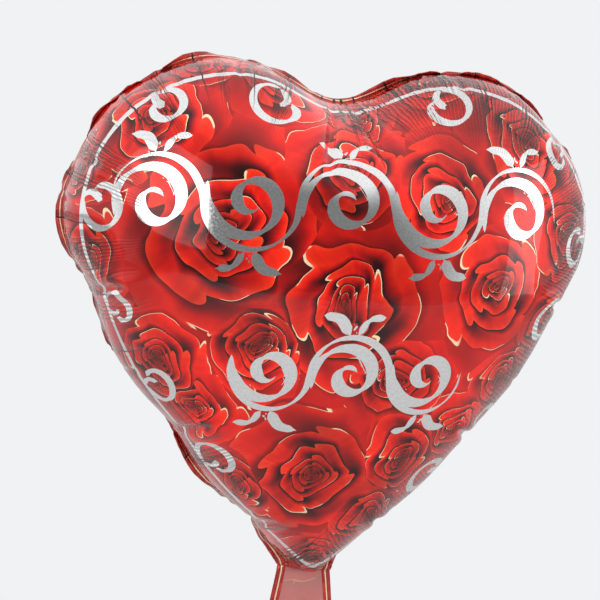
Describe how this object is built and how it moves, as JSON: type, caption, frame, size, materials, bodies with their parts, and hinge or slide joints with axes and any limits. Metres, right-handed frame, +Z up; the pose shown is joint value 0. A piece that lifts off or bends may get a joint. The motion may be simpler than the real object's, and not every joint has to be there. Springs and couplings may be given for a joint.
{
  "type": "heart-shaped foil balloon",
  "caption": "Inflated heart-shaped foil balloon of two printed metallised films sealed round a flat edge, with a self-closing valve sleeve in its folding tail.",
  "frame": {"origin": "middle of the neck, on the line where the tail folds and a ribbon is tied", "axes": "+Z up from the neck to the cleft of the heart, front of the balloon towards -Y, +X to the right seen from the front"},
  "size_m": [0.36, 0.2082, 0.377],
  "materials": {
    "printed_foil_front": "glossy metallised film printed with red roses and a silver border",
    "printed_foil_back": "glossy metallised film printed with red roses and a silver border",
    "seal_layer": "heat-sealed edge",
    "valve_film": "translucent thin film"
  },
  "bodies": {
    "envelope": {"front_panel": "printed_foil_front", "back_panel": "printed_foil_back", "perimeter_seal": "seal_layer", "valve_front_ply": "valve_film", "valve_back_ply": "valve_film", "valve_side_seams": "valve_film", "neck_welds": "seal_layer"},
    "tail": {"tail_front_film": "printed_foil_front", "tail_back_film": "printed_foil_back", "tail_edge_seals": "seal_layer", "tail_valve_front_ply": "valve_film", "tail_valve_back_ply": "valve_film", "tail_valve_side_seams": "valve_film", "tail_welds": "seal_layer"}
  },
  "joints": [
    {"name": "tail_fold", "type": "hinge", "parent": "envelope", "child": "tail", "pos_m": [0, 0, 0], "axis": [1, 0, 0], "range_deg": [-80, 80]}
  ]
}
